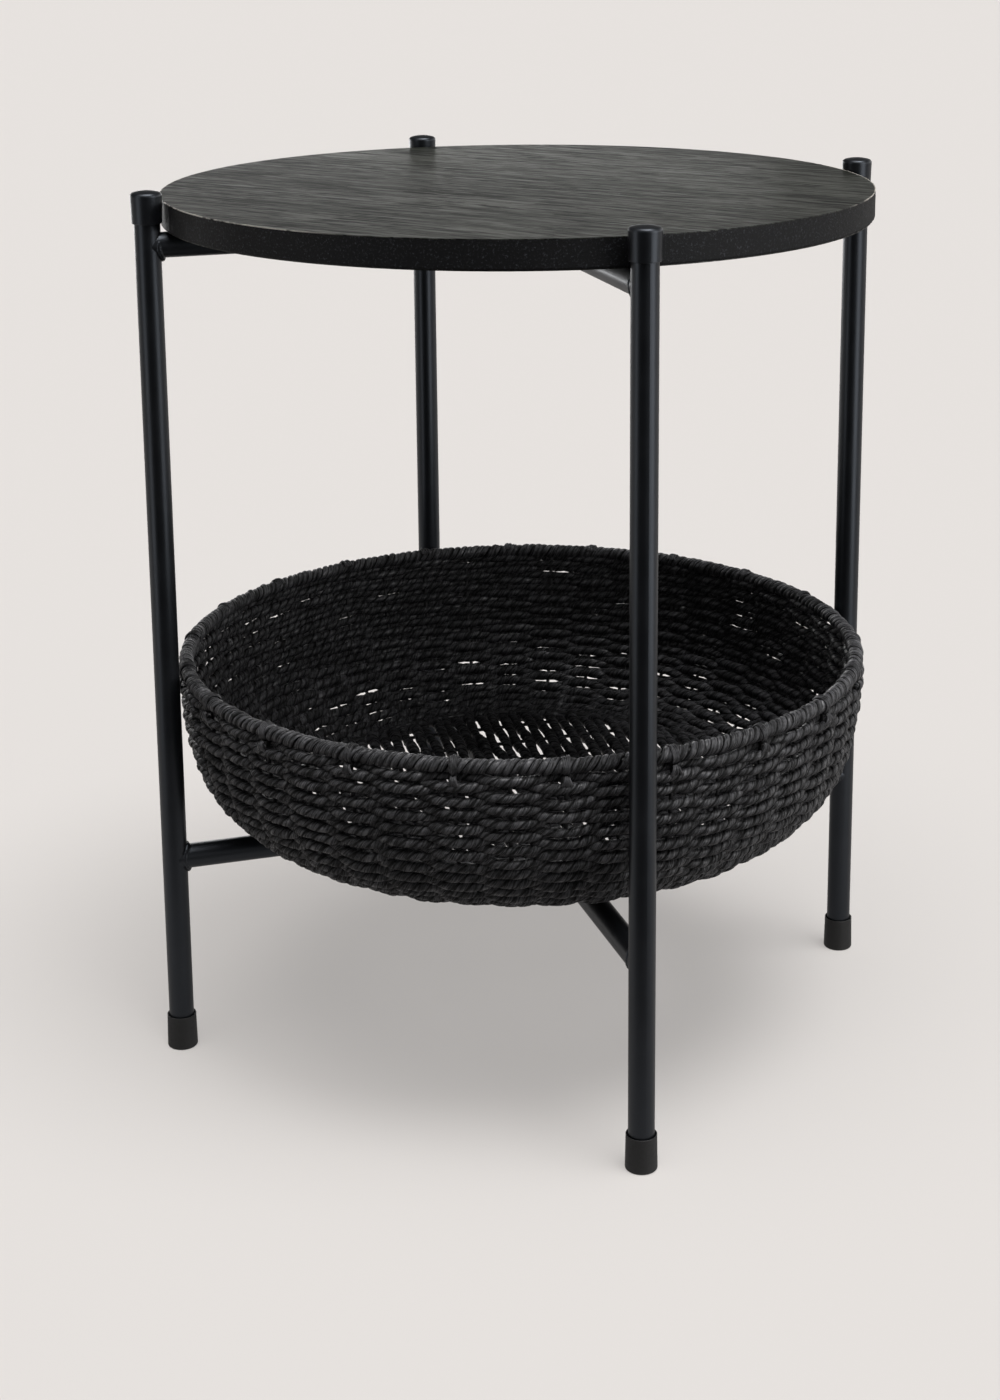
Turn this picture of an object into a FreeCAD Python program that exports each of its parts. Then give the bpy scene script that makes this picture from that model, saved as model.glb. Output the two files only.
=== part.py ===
import FreeCAD, Part
import math
import os

# A round side table on four slim legs, with a woven bowl held between the legs.
# Two welded H-frames cross at right angles. Frame A carries the left and right legs and
# lies along X. Frame B carries the front and back legs and lies along Y. Each frame has
# an upper and a lower rail, pressed flat where the frames cross, and a bolt through each
# crossing is the pivot about which frame B folds. The round top and the bowl lie loose
# on the rails. Origin: on the floor, midway between the feet. +Z is up. Millimetres.

# Overall sizes
top_radius = 225.0
top_thickness = 18.0
top_height = 558.0
leg_circle_radius = 235.5
frame_height = 565.5

# Tubes
leg_radius = 8.0
rail_radius = 7.9
tube_wall = 1.2
upper_rail_height = 531.8
lower_rail_height = 132.1

# Rails where they cross
flat_thickness = 6.0
flat_half_length = 52.0
flat_taper = 20.0
lap_gap = 1.0
weld_size = 3.6
weld_half_width = 6.5

# Pivots
bolt_radius = 3.0
bolt_hole_clearance = 0.05
bolt_head_radius = 7.0
bolt_head_height = 1.2
bolt_end = 0.8
nut_across_flats = 10.0
nut_sides = 6
nut_height = 6.0
nut_face_radius = 5.2
washer_radius = 6.2
washer_height = 1.0
bush_wall = 0.95
bush_flange_radius = 9.0
face_gap = 0.1

# Caps over the legs' upper ends
cap_lower_radius = 9.3
cap_upper_radius = 9.7
cap_height = 20.0
cap_dome_height = 3.7
cap_shoulder_radius = 9.17
cap_shoulder_drop = 1.92
cap_crown_radius = 7.57
cap_crown_rise = 1.0
cap_edge_break = 0.3
sleeve_clearance = 0.05
cap_roof = 3.0

# Feet under the legs
foot_height = 22.5
foot_base_radius = 9.8
foot_lip_radius = 9.4
foot_edge_radius = 1.3
foot_floor = 3.5
foot_lip_gap = 0.8
foot_lip_depth = 2.0

# Table top
veneer_thickness = 0.6
top_edge_radius = 1.2

# Bowl: the wall is a wide arc from the rim and a tight arc down to the flat base
bowl_rim_radius = 225.0
bowl_rim_height = 252.0
bowl_base_height = 140.3
bowl_wide_arc = 260.0
bowl_tight_arc = 70.0
bowl_wall = 9.0
rim_wrap_radius = 5.0
rim_wrap_seat_depth = 4.0
rim_hoop_radius = 2.0
stake_count = 43
stake_radius = 1.25
stake_hoop_gap = 0.2
base_hoop_radius = 1.6
base_wire_pitch = 32.0
base_wire_edge_gap = 2.0

UP = FreeCAD.Vector(0, 0, 1)
ALONG_X = FreeCAD.Vector(1, 0, 0)
CENTRE = FreeCAD.Vector(0, 0, 0)
FULL_TURN = 360.0
HALF_RIGHT_ANGLE = math.radians(45)
RIGHT_ANGLE = math.radians(90)
OVER_CUT = 1.0
EDGE_MARGIN = 0.1
leg_angles = {"right": 0.0, "back": 90.0, "left": 180.0, "front": 270.0}
rail_angles = {"a": 0.0, "b": 90.0}

leg_foot_gap = 0.1
leg_bottom = foot_floor + leg_foot_gap
leg_top = frame_height - cap_roof - leg_foot_gap


def vector(x, y, z):
    return FreeCAD.Vector(x, y, z)


def cylinder(radius, low, high):
    """Upright cylinder on the Z axis between two heights."""
    return Part.makeCylinder(radius, high - low, vector(0, 0, low))


def ring(outer, inner, low, high):
    """Upright tube on the Z axis between two heights."""
    return cylinder(outer, low, high).cut(cylinder(inner, low - OVER_CUT, high + OVER_CUT))


def line(start, end):
    return Part.LineSegment(start, end).toShape()


def arc(start, middle, end):
    return Part.Arc(start, middle, end).toShape()


def turned(edges):
    """Solid swept by a closed outline in the XZ plane, turned once about the Z axis."""
    return Part.Face(Part.Wire(edges)).revolve(CENTRE, UP, FULL_TURN)


def about_z(shape, degrees):
    """Copy of a shape, turned about the Z axis."""
    copy = shape.copy()
    copy.rotate(CENTRE, UP, degrees)
    return copy


def on_leg(shape, degrees):
    """Copy of a shape made on the Z axis, moved onto the leg at an angle."""
    copy = shape.copy()
    copy.translate(vector(leg_circle_radius, 0, 0))
    return about_z(copy, degrees)


def leg_tube():
    """Straight round tube, open at both ends."""
    return ring(leg_radius, leg_radius - tube_wall, leg_bottom, leg_top)


def leg_cap():
    """Domed sleeve that widens slightly towards its shoulder."""
    low = frame_height - cap_height
    shoulder = frame_height - cap_dome_height
    roof = frame_height - cap_roof
    bore = leg_radius + sleeve_clearance
    dome_radius = (cap_crown_radius ** 2 + cap_crown_rise ** 2) / (2 * cap_crown_rise)
    half_angle = 0.5 * math.asin(cap_crown_radius / dome_radius)
    crown_middle_drop = dome_radius * (1 - math.cos(half_angle))
    points = [
        vector(bore, 0, low),
        vector(cap_lower_radius - cap_edge_break, 0, low),
        vector(cap_lower_radius, 0, low + cap_edge_break),
        vector(cap_upper_radius, 0, shoulder),
        vector(cap_crown_radius, 0, frame_height - cap_crown_rise),
        vector(0, 0, frame_height),
        vector(0, 0, roof),
        vector(bore, 0, roof),
    ]
    shoulder_middle = vector(cap_shoulder_radius, 0, frame_height - cap_shoulder_drop)
    crown_middle = vector(dome_radius * math.sin(half_angle), 0, frame_height - crown_middle_drop)
    edges = [line(a, b) for a, b in zip(points[:3], points[1:4])]
    edges.append(arc(points[3], shoulder_middle, points[4]))
    edges.append(arc(points[4], crown_middle, points[5]))
    edges += [line(a, b) for a, b in zip(points[5:], points[6:] + points[:1])]
    return turned(edges)


def foot():
    """Moulded cup with a rounded lower edge and a lip that stands off the tube."""
    bore = leg_radius + sleeve_clearance
    edge = foot_edge_radius
    edge_middle = edge * (1 - math.cos(HALF_RIGHT_ANGLE))
    lip = 0.5 * (foot_lip_radius + bore + foot_lip_gap)
    lip_start = vector(foot_lip_radius, 0, foot_height - edge_middle)
    lip_end = vector(bore + foot_lip_gap, 0, foot_height - edge_middle)
    points = [
        vector(0, 0, 0),
        vector(foot_base_radius - edge, 0, 0),
        vector(foot_base_radius, 0, edge),
        lip_start,
        lip_end,
        vector(bore, 0, foot_height - foot_lip_depth),
        vector(bore, 0, foot_floor),
        vector(0, 0, foot_floor),
    ]
    edges = [
        line(points[0], points[1]),
        arc(points[1], vector(foot_base_radius - edge_middle, 0, edge_middle), points[2]),
        line(points[2], lip_start),
        arc(lip_start, vector(lip, 0, foot_height), lip_end),
    ]
    edges += [line(a, b) for a, b in zip(points[4:], points[5:] + points[:1])]
    return turned(edges)


def round_section(radius, x):
    """Circle across X, in four arcs: top, back side, bottom and front side."""
    corner = radius * math.cos(HALF_RIGHT_ANGLE)
    corners = [vector(x, y * corner, z * corner) for y, z in ((-1, 1), (1, 1), (1, -1), (-1, -1))]
    middles = [vector(x, y * radius, z * radius) for y, z in ((0, 1), (1, 0), (0, -1), (-1, 0))]
    ends = corners[1:] + corners[:1]
    return Part.Wire([arc(a, m, b) for a, m, b in zip(corners, middles, ends)])


def flat_section(radius, thickness, offset, x):
    """The same tube wall pressed flat: two straight sides and two round ends, across X."""
    straight = 0.5 * math.pi * (radius - 0.5 * thickness)
    half = 0.5 * straight
    low = offset - 0.5 * thickness
    high = offset + 0.5 * thickness
    side = half + 0.5 * thickness
    return Part.Wire([
        line(vector(x, -half, high), vector(x, half, high)),
        arc(vector(x, half, high), vector(x, side, offset), vector(x, half, low)),
        line(vector(x, half, low), vector(x, -half, low)),
        arc(vector(x, -half, low), vector(x, -side, offset), vector(x, -half, high)),
    ])


def rail_body(radius, thickness, offset):
    """Round bar along X whose middle is pressed flat and set up or down by an offset."""
    end = leg_circle_radius
    taper_end = flat_half_length + flat_taper
    spans = []
    for sign in (-1, 1):
        start = vector(sign * taper_end, 0, 0)
        spans.append(Part.makeCylinder(radius, end - taper_end, start, ALONG_X * sign))
        round_end = round_section(radius, sign * taper_end)
        flat_end = flat_section(radius, thickness, offset, sign * flat_half_length)
        spans.append(Part.makeLoft([flat_end, round_end], True, True))
    middle = Part.Face(flat_section(radius, thickness, offset, -flat_half_length))
    spans.append(middle.extrude(ALONG_X * (2 * flat_half_length)))
    return spans[0].multiFuse(spans[1:]).removeSplitter()


def rail(height, lap_side, hole_radius):
    """Hollow rail with coped ends and a pivot hole through its flat middle."""
    offset = lap_side * 0.5 * (flat_thickness + lap_gap)
    outside = rail_body(rail_radius, flat_thickness, offset)
    inside = rail_body(rail_radius - tube_wall, flat_thickness - 2 * tube_wall, offset)
    tube = outside.cut(inside)
    for sign in (-1, 1):
        cope = cylinder(leg_radius, -2 * leg_radius, 2 * leg_radius)
        cope.translate(vector(sign * leg_circle_radius, 0, 0))
        tube = tube.cut(cope)
    tube = tube.cut(cylinder(hole_radius, -2 * rail_radius, 2 * rail_radius))
    tube.translate(vector(0, 0, height))
    return tube


def weld(height, sides):
    """Crescent beads where a rail meets its leg: above it, below it, or both."""
    face = leg_circle_radius - leg_radius
    toe = face - weld_size
    rim = rail_radius + weld_size
    profile = Part.Wire([
        line(vector(toe, 0, rail_radius), vector(face, 0, rim)),
        line(vector(face, 0, rim), vector(leg_circle_radius, 0, rim)),
        line(vector(leg_circle_radius, 0, rim), vector(leg_circle_radius, 0, rail_radius)),
        line(vector(leg_circle_radius, 0, rail_radius), vector(toe, 0, rail_radius)),
    ])
    collar = Part.Face(profile).revolve(CENTRE, ALONG_X, FULL_TURN)
    beads = []
    for side in sides:
        low = min(0, side * rim)
        corner = vector(toe, -weld_half_width, low)
        keep = Part.makeBox(leg_circle_radius - toe, 2 * weld_half_width, rim, corner)
        beads.append(collar.common(keep))
    leg_space = cylinder(leg_radius, -2 * rim, 2 * rim)
    leg_space.translate(vector(leg_circle_radius, 0, 0))
    beads = [bead.cut(leg_space) for bead in beads]
    group = Part.makeCompound(beads)
    group.translate(vector(0, 0, height))
    return group


def pivot_bolt(height):
    """Low round head, shank through both rails, and a plain end past the nut."""
    stack = 0.5 * lap_gap + flat_thickness
    head_low = stack + face_gap
    head = cylinder(bolt_head_radius, head_low, head_low + bolt_head_height)
    end = -(stack + face_gap + washer_height + nut_height + bolt_end)
    bolt = head.fuse(cylinder(bolt_radius, end, head_low)).removeSplitter()
    bolt.translate(vector(0, 0, height))
    return bolt


def pivot_washer(height):
    """Flat washer between the lower rail face and the nut."""
    top = height - 0.5 * lap_gap - flat_thickness - face_gap
    return ring(washer_radius, bolt_radius, top - washer_height, top)


def pivot_nut(height):
    """Hexagon nut with its corners turned off."""
    top = height - 0.5 * lap_gap - flat_thickness - face_gap - washer_height
    low = top - nut_height
    corner = nut_across_flats / math.sqrt(3)
    corners = []
    for step in range(nut_sides + 1):
        angle = math.radians(FULL_TURN * step / nut_sides)
        corners.append(vector(corner * math.cos(angle), corner * math.sin(angle), low))
    block = Part.Face(Part.makePolygon(corners)).extrude(UP * nut_height)
    bevel = Part.makeCone(nut_face_radius, nut_face_radius + nut_height, nut_height, vector(0, 0, low))
    return block.common(bevel).cut(cylinder(bolt_radius, low - OVER_CUT, top + OVER_CUT))


def pivot_bush(height, side):
    """Flanged bush pressed into frame B's rail. Its flange keeps the two rails apart."""
    bore = bolt_radius + bolt_hole_clearance
    flange = ring(bush_flange_radius, bore, -0.5 * lap_gap + face_gap, 0.5 * lap_gap)
    barrel = ring(bore + bush_wall, bore, 0.5 * lap_gap, 0.5 * lap_gap + flat_thickness)
    bush = flange.fuse(barrel).removeSplitter()
    if side < 0:
        bush.rotate(CENTRE, ALONG_X, 180)
    bush.translate(vector(0, 0, height))
    return bush


def top_core():
    """Board with a softened lower edge, between its two veneers."""
    low = top_height - top_thickness + veneer_thickness
    high = top_height - veneer_thickness
    board = cylinder(top_radius, low, high)
    lower_rim = [e for e in board.Edges if e.BoundBox.ZMax < low + EDGE_MARGIN and e.Length > top_radius]
    return board.makeFillet(top_edge_radius, lower_rim)


def top_veneer():
    """Thin sheet of wood on the upper face."""
    return cylinder(top_radius, top_height - veneer_thickness, top_height)


def backing_veneer():
    """Thin sheet under the board, kept inside its softened edge."""
    low = top_height - top_thickness
    return cylinder(top_radius - top_edge_radius, low, low + veneer_thickness)


def bowl_angle():
    """Angle at which the wall's wide arc runs into its tight arc."""
    drop = bowl_rim_height - bowl_base_height - bowl_tight_arc
    return math.asin(drop / (bowl_wide_arc - bowl_tight_arc))


def bowl_arc(inset, start, end):
    """Part of the wall's outline, moved inwards by an inset, between two angles below level."""
    turn = bowl_angle()
    middle = 0.5 * (start + end)
    centre = vector(bowl_rim_radius - bowl_wide_arc, 0, bowl_rim_height)
    radius = bowl_wide_arc - inset
    if middle > turn:
        reach = bowl_wide_arc - bowl_tight_arc
        centre += vector(reach * math.cos(turn), 0, -reach * math.sin(turn))
        radius = bowl_tight_arc - inset
    angles = (start, middle, end)
    return arc(*[centre + vector(radius * math.cos(k), 0, -radius * math.sin(k)) for k in angles])


def bowl_base_radius():
    """Radius of the flat base, where the wall's tight arc becomes level."""
    reach = bowl_wide_arc - bowl_tight_arc
    return bowl_rim_radius - bowl_wide_arc + reach * math.cos(bowl_angle())


def rim_ring(radius):
    """Ring of round section at the rim."""
    middle = bowl_rim_radius - rim_wrap_radius
    return Part.makeTorus(middle, radius, vector(0, 0, bowl_rim_height))


def bowl_wall_bands():
    """Woven wall as a plain shell, in three bands from the rim wrap down to the base."""
    turn = bowl_angle()
    angles = (0.0, turn, 0.5 * (turn + RIGHT_ANGLE), RIGHT_ANGLE)
    bands = []
    for start, end in zip(angles, angles[1:]):
        outer = bowl_arc(0.0, start, end)
        inner = bowl_arc(bowl_wall, start, end)
        outer_start, outer_end = [corner.Point for corner in outer.Vertexes]
        inner_start, inner_end = [corner.Point for corner in inner.Vertexes]
        sides = [line(outer_end, inner_end), line(inner_start, outer_start)]
        outline = Part.Wire(Part.__sortEdges__([outer, inner] + sides))
        bands.append(Part.Face(outline).revolve(CENTRE, UP, FULL_TURN))
    seat = bowl_rim_height - rim_wrap_seat_depth
    above_seat = cylinder(bowl_rim_radius + OVER_CUT, seat, bowl_rim_height + OVER_CUT)
    bands[0] = bands[0].cut(above_seat).cut(rim_ring(rim_wrap_radius))
    return dict(zip(("upper", "middle", "lower"), bands))


def bowl_base():
    """Woven base as one plain disc."""
    return cylinder(bowl_base_radius(), bowl_base_height, bowl_base_height + bowl_wall)


def bowl_stakes():
    """Upright wires inside the wall, from under the rim hoop down to the base hoop."""
    start_angle = (rim_hoop_radius + stake_hoop_gap) / bowl_wide_arc
    inset = 0.5 * bowl_wall
    wide = bowl_arc(inset, start_angle, bowl_angle())
    tight = bowl_arc(inset, bowl_angle(), RIGHT_ANGLE)
    path = Part.Wire([wide, tight])
    start = path.Edges[0].Vertexes[0].Point
    direction = path.Edges[0].tangentAt(path.Edges[0].FirstParameter)
    section = Part.Wire(Part.makeCircle(stake_radius, start, direction))
    stake = path.makePipeShell([section], True, True)
    return Part.makeCompound([about_z(stake, FULL_TURN * k / stake_count) for k in range(stake_count)])


def base_middle_height():
    return bowl_base_height + 0.5 * bowl_wall


def base_hoop():
    """Wire ring inside the turn between wall and base."""
    radius = bowl_base_radius() + stake_radius + base_hoop_radius
    ring_height = base_middle_height() + stake_radius + base_hoop_radius
    return Part.makeTorus(radius, base_hoop_radius, vector(0, 0, ring_height))


def base_wires():
    """Parallel wires across the base, under the hoop's level."""
    reach = bowl_base_radius() - base_wire_edge_gap
    count = int(reach // base_wire_pitch)
    wires = []
    for step in range(-count, count + 1):
        y = step * base_wire_pitch
        half = math.sqrt(reach ** 2 - y ** 2)
        start = vector(-half, y, base_middle_height())
        wires.append(Part.makeCylinder(stake_radius, 2 * half, start, ALONG_X))
    return Part.makeCompound(wires)


def build():
    """Every node by name."""
    nodes = {}
    for name, angle in leg_angles.items():
        nodes["leg_" + name] = on_leg(leg_tube(), angle)
        nodes["cap_" + name] = on_leg(leg_cap(), angle)
        nodes["foot_" + name] = on_leg(foot(), angle)
        nodes["weld_upper_" + name] = about_z(weld(upper_rail_height, [-1]), angle)
        nodes["weld_lower_" + name] = about_z(weld(lower_rail_height, [-1, 1]), angle)
    bolt_hole = bolt_radius + bolt_hole_clearance
    hole_radius = {"a": bolt_hole, "b": bolt_hole + bush_wall}
    lap_sides = {"a": {"upper": -1, "lower": 1}, "b": {"upper": 1, "lower": -1}}
    rail_heights = {"upper": upper_rail_height, "lower": lower_rail_height}
    for level, height in rail_heights.items():
        for frame, angle in rail_angles.items():
            shape = rail(height, lap_sides[frame][level], hole_radius[frame])
            nodes["rail_" + level + "_" + frame] = about_z(shape, angle)
        nodes["pivot_bolt_" + level] = pivot_bolt(height)
        nodes["pivot_washer_" + level] = pivot_washer(height)
        nodes["pivot_nut_" + level] = pivot_nut(height)
        nodes["pivot_bush_" + level] = pivot_bush(height, lap_sides["b"][level])
    nodes["top_core"] = top_core()
    nodes["top_veneer"] = top_veneer()
    nodes["top_backing_veneer"] = backing_veneer()
    for name, band in bowl_wall_bands().items():
        nodes["basket_wall_" + name] = band
    nodes["basket_base"] = bowl_base()
    nodes["basket_rim_wrap"] = rim_ring(rim_wrap_radius).cut(rim_ring(rim_hoop_radius))
    nodes["basket_rim_hoop"] = rim_ring(rim_hoop_radius)
    nodes["basket_stakes"] = bowl_stakes()
    nodes["basket_base_hoop"] = base_hoop()
    nodes["basket_base_wires"] = base_wires()
    return nodes


os.makedirs("parts", exist_ok=True)
for node_name, node_shape in build().items():
    if not node_shape.isValid():
        raise RuntimeError("the shape of " + node_name + " is not valid")
    node_shape.exportStep("parts/" + node_name + ".step")
    print(node_name, len(node_shape.Solids), round(node_shape.Volume))
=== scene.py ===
"""Looks of a round side table with a woven rope bowl between its four legs.

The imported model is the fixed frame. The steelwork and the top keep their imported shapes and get
their finishes here. The bowl's plain shells are replaced by real rope: two plies laid together,
woven round the stakes and wound round the rim. The weld crescents are replaced by lumpy beads.
"""

import logging
import math
from collections.abc import Mapping, Sequence
from dataclasses import dataclass, field
from enum import Enum
from typing import Any

import bpy
import numpy as np
from mathutils import Euler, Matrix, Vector


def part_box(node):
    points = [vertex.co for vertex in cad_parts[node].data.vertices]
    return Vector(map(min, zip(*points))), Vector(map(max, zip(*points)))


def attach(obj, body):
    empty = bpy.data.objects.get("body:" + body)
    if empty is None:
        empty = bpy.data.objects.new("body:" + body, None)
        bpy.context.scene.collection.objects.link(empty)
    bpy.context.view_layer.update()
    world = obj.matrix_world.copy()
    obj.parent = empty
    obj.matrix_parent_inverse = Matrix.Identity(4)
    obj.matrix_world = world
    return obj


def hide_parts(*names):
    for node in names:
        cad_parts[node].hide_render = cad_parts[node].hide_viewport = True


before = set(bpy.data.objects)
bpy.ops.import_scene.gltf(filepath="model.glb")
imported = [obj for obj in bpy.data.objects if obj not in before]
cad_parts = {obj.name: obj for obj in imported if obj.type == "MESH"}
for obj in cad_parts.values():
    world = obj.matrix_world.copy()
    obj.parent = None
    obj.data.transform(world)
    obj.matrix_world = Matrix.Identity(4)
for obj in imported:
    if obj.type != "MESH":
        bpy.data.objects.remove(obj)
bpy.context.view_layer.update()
LOG = logging.getLogger("side_table")
MM = 0.001
TURN = 2 * math.pi
Colour = tuple[float, float, float]
BLACK: Colour = (0.0, 0.0, 0.0)


class Leg(Enum):
    """The four legs, by the word that ends their nodes' names."""

    LEFT = "left"
    RIGHT = "right"
    FRONT = "front"
    BACK = "back"

    @property
    def body(self) -> str:
        """Body that the leg belongs to."""
        return "frame_a" if self in (Leg.LEFT, Leg.RIGHT) else "frame_b"

    @property
    def angle(self) -> float:
        """Angle of the leg round the fold axis, from +X, in radians."""
        quarter = {Leg.RIGHT: 0, Leg.BACK: 1, Leg.LEFT: 2, Leg.FRONT: 3}[self]
        return quarter * TURN / 4


class Level(Enum):
    """The two heights at which rails run."""

    UPPER = "upper"
    LOWER = "lower"


# ---------------------------------------------------------------- node trees


class Signal:
    """One output socket of a node tree, with arithmetic that adds Math nodes."""

    def __init__(self, board: "NodeBoard", socket: bpy.types.NodeSocket) -> None:
        """Keeps the tree that the socket belongs to, and the socket."""
        self.board = board
        self.socket = socket

    def math(self, operation: str, first: Any, second: Any = 0.0) -> "Signal":
        """Adds one Math node.

        Args:
            operation: Blender's name of the operation.
            first: a Signal or a number.
            second: a Signal or a number.

        Returns:
            The node's result.
        """
        values = {"Value": first, "Value_001": second}
        return self.board.node("ShaderNodeMath", {"operation": operation}, values)

    def __add__(self, other: Any) -> "Signal":
        """Sum with a Signal or a number."""
        return self.math("ADD", self, other)

    def __sub__(self, other: Any) -> "Signal":
        """Difference from a Signal or a number."""
        return self.math("SUBTRACT", self, other)

    def __rsub__(self, other: float) -> "Signal":
        """Number less this Signal."""
        return self.math("SUBTRACT", other, self)

    def __mul__(self, other: Any) -> "Signal":
        """Product with a Signal or a number."""
        return self.math("MULTIPLY", self, other)

    def __truediv__(self, other: Any) -> "Signal":
        """Quotient by a Signal or a number."""
        return self.math("DIVIDE", self, other)

    __radd__ = __add__
    __rmul__ = __mul__

    def step(self, low: float, high: float) -> "Signal":
        """Smooth rise from 0 at low to 1 at high.

        Args:
            low: value at which the rise starts.
            high: value at which it ends, which may be under low for a fall.

        Returns:
            The smooth step.
        """
        limits = {"Value": self, "From Min": low, "From Max": high}
        return self.board.node("ShaderNodeMapRange", {"interpolation_type": "SMOOTHSTEP"}, limits)


class NodeBoard:
    """A node tree that is filled through one method."""

    def __init__(self, tree: bpy.types.NodeTree) -> None:
        """Keeps the tree and empties it."""
        self.tree = tree
        self.tree.nodes.clear()

    def place(self, kind: str, settings: Mapping[str, Any], sockets: Mapping[str, Any]) -> Any:
        """Adds a node.

        Args:
            kind: the node's type.
            settings: the node's own properties.
            sockets: value or Signal for each input socket, by identifier.

        Returns:
            The node.
        """
        node = self.tree.nodes.new(kind)
        for name, value in settings.items():
            setattr(node, name, value)
        inputs = {socket.identifier: socket for socket in node.inputs}
        for name, value in sockets.items():
            if isinstance(value, Signal):
                self.tree.links.new(value.socket, inputs[name])
            elif inputs[name].type == "RGBA":
                inputs[name].default_value = (*value, 1.0)
            else:
                inputs[name].default_value = value
        return node

    def node(self, kind: str, settings: Mapping[str, Any], sockets: Mapping[str, Any],
             output: str | None = None) -> Signal:
        """Adds a node and gives one of its outputs.

        Args:
            kind: the node's type.
            settings: the node's own properties.
            sockets: value or Signal for each input socket, by identifier.
            output: identifier of the output, or None for the first one in use.

        Returns:
            The output as a Signal.
        """
        node = self.place(kind, settings, sockets)
        for socket in node.outputs:
            if socket.identifier == output or (output is None and socket.enabled):
                return Signal(self, socket)
        raise ValueError(f"{kind} has no output {output}")

    def mix(self, factor: Any, first: Any, second: Any) -> Signal:
        """Mixes two colours.

        Args:
            factor: 0 for the first colour, 1 for the second.
            first: colour or Signal.
            second: colour or Signal.

        Returns:
            The mixed colour.
        """
        values = {"Factor_Float": factor, "A_Color": first, "B_Color": second}
        return self.node("ShaderNodeMix", {"data_type": "RGBA"}, values, "Result_Color")

    def vector(self, operation: str, first: Any, second: Any = None, scale: Any = None) -> Signal:
        """Adds one Vector Math node.

        Args:
            operation: Blender's name of the operation.
            first: vector Signal.
            second: vector Signal, or None.
            scale: number or Signal for SCALE, or None.

        Returns:
            The resulting vector.
        """
        named = {"Vector": first, "Vector_001": second, "Scale": scale}
        given = {name: value for name, value in named.items() if value is not None}
        return self.node("ShaderNodeVectorMath", {"operation": operation}, given)

    def noise(self, place: Signal, scale: float, detail: float = 2.0, rough: float = 0.5,
              warp: float = 0.0) -> Signal:
        """Noise texture in three dimensions.

        Args:
            place: coordinates.
            scale: lumps per metre.
            detail: number of finer layers.
            rough: weight of the finer layers.
            warp: distortion.

        Returns:
            Values from 0 to 1.
        """
        values = {"Vector": place, "Scale": scale, "Detail": detail, "Roughness": rough}
        return self.node("ShaderNodeTexNoise", {}, {**values, "Distortion": warp}, "Fac")

    def stretched(self, place: Signal, scale: Sequence[float], turn: float = 0.0) -> Signal:
        """Coordinates turned about Z and then scaled along each axis.

        Args:
            place: coordinates.
            scale: scale along X, Y and Z.
            turn: angle in radians that brings the pattern's length onto X.

        Returns:
            The new coordinates.
        """
        turned = self.node("ShaderNodeMapping", {}, {"Vector": place, "Rotation": (0.0, 0.0, turn)})
        return self.node("ShaderNodeMapping", {}, {"Vector": turned, "Scale": tuple(scale)})

    def bump(self, height: Signal, distance: float, strength: float = 1.0,
             under: Signal | None = None) -> Signal:
        """Bump from a height.

        Args:
            height: relief from 0 to 1.
            distance: height of the relief in metres.
            strength: share of the relief that shows.
            under: normal of a coarser relief that this one lies on.

        Returns:
            The normal.
        """
        values = {"Height": height, "Distance": distance, "Strength": strength}
        if under is not None:
            values["Normal"] = under
        return self.node("ShaderNodeBump", {}, values)


# ---------------------------------------------------------------- finishes


@dataclass(frozen=True)
class Finish:
    """A finish that paints one material. Its fields are the finish's own numbers."""

    name: str

    def paint(self, board: NodeBoard) -> dict[str, Any]:
        """Builds the finish's nodes.

        Args:
            board: the material's tree.

        Returns:
            Values of the surface shader's sockets, by name.
        """
        raise NotImplementedError

    def material(self) -> bpy.types.Material:
        """Makes the material.

        Returns:
            The painted material.
        """
        material = bpy.data.materials.new(self.name)
        material.use_nodes = True
        board = NodeBoard(material.node_tree)
        surface = board.node("ShaderNodeBsdfPrincipled", {}, self.paint(board), "BSDF")
        board.place("ShaderNodeOutputMaterial", {}, {"Surface": surface})
        return material

    @staticmethod
    def place(board: NodeBoard) -> Signal:
        """Place on the piece, in metres."""
        return board.node("ShaderNodeTexCoord", {}, {}, "Object")


@dataclass(frozen=True)
class PowderCoat(Finish):
    """Satin powder coat with a fine orange peel and a few dust specks."""

    name: str = "powder_coat"
    colour: Colour = (0.0052, 0.0056, 0.0068)
    worn: Colour = (0.0095, 0.010, 0.0118)
    sheen: Colour = (0.80, 0.88, 1.0)
    roughness: float = 0.36
    cloud_scale: float = 38.0
    peel_scale: float = 900.0
    peel_height: float = 0.00002
    speck_scale: float = 1500.0

    def paint(self, board: NodeBoard) -> dict[str, Any]:
        """Dark coat, slightly cloudy, with orange peel.

        Args:
            board: the material's tree.

        Returns:
            Values of the surface shader's sockets, by name.
        """
        place = self.place(board)
        cloud = board.noise(place, self.cloud_scale, 3.0, 0.6)
        peel = board.noise(place, self.peel_scale, 2.0, 0.5)
        speck = board.noise(place, self.speck_scale, 0.0).step(0.80, 0.84)
        tone = board.mix(cloud.step(0.35, 0.75) * 0.55 + speck * 0.5, self.colour, self.worn)
        return {
            "Base Color": tone,
            "Roughness": self.roughness + (cloud - 0.5) * 0.12 + speck * 0.1,
            "Specular IOR Level": 0.58,
            "Specular Tint": self.sheen,
            "Normal": board.bump(peel, self.peel_height, 0.8),
        }


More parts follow.
